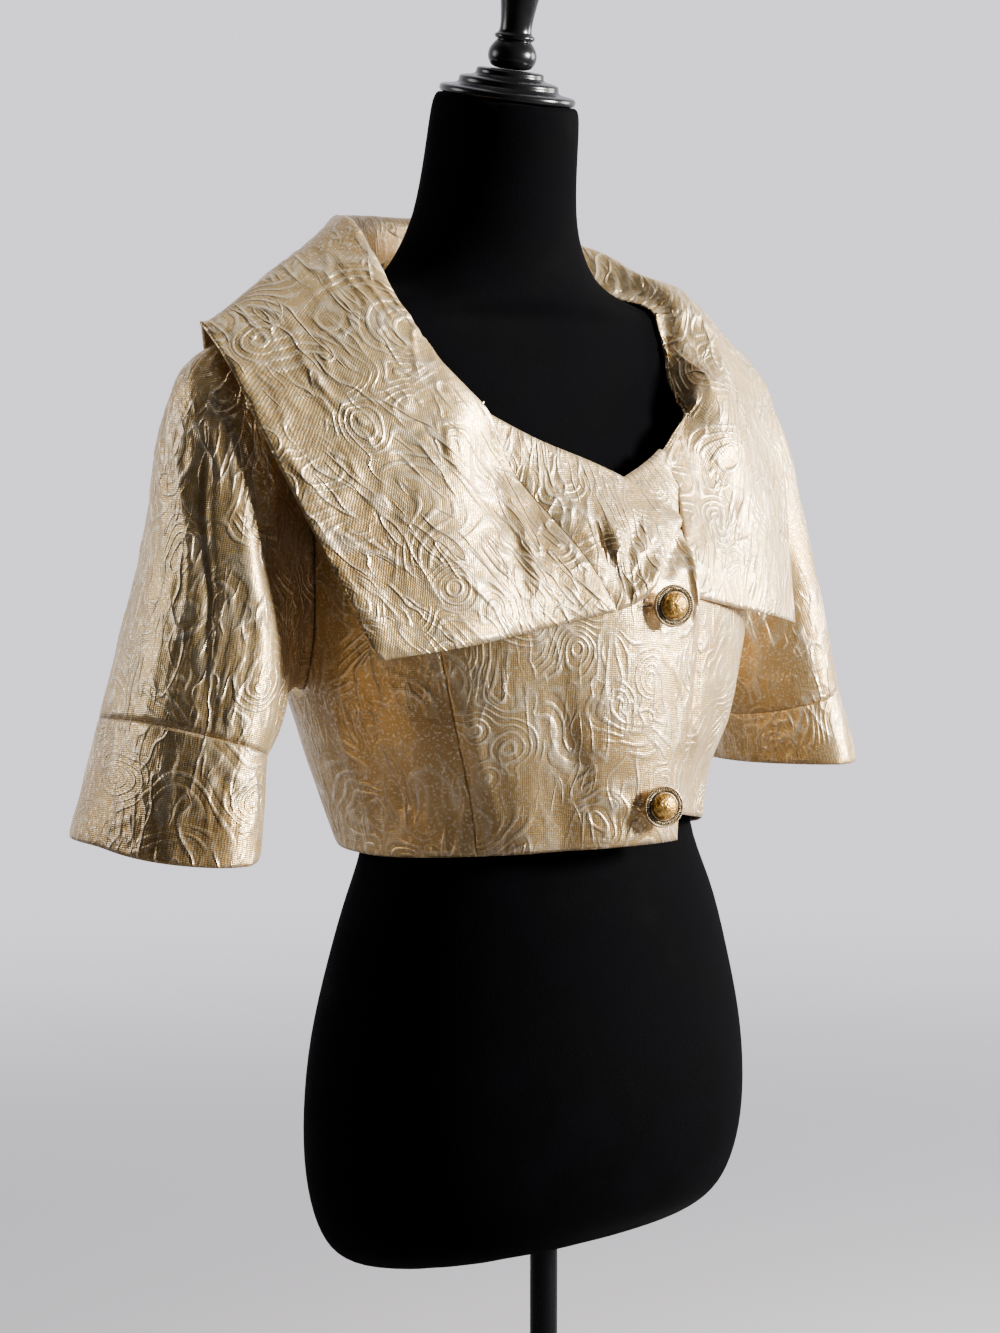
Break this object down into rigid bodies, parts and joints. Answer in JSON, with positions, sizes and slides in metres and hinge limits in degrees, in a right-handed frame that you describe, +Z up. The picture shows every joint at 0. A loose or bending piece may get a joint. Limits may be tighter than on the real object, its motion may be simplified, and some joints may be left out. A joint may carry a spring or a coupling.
{
  "type": "blazer on a dress form",
  "caption": "Cropped brocade blazer with a wide portrait collar and cuffed elbow sleeves, buttoned in front, on a limbless dress form with a pole stand.",
  "frame": {"origin": "centre of the underside of the stand's base, on the floor", "axes": "+Z up, front of the jacket towards -Y, wearer's left towards +X"},
  "size_m": [0.6501, 0.328, 1.397],
  "materials": {
    "brocade": "champagne gold brocade with raised scrolls and a soft sheen",
    "antique_gilt": "antique gold, satin",
    "form_velvet": "black velvet cover on a light moulded shell",
    "black_lacquer": "gloss black lacquer",
    "stand_metal": "black, satin"
  },
  "bodies": {
    "root": {"front_right": "brocade", "front_left": "brocade", "side_right": "brocade", "side_left": "brocade", "back": "brocade", "sleeve_right": "brocade", "sleeve_left": "brocade", "cuff_right": "brocade", "cuff_left": "brocade", "collar": "brocade", "lapel_right": "brocade", "lapel_left": "brocade", "button_upper": "antique_gilt", "button_lower": "antique_gilt", "dress_form": "form_velvet", "neck_cap": "black_lacquer", "finial": "black_lacquer", "stand_pole": "stand_metal", "stand_base": "black_lacquer"}
  },
  "joints": []
}
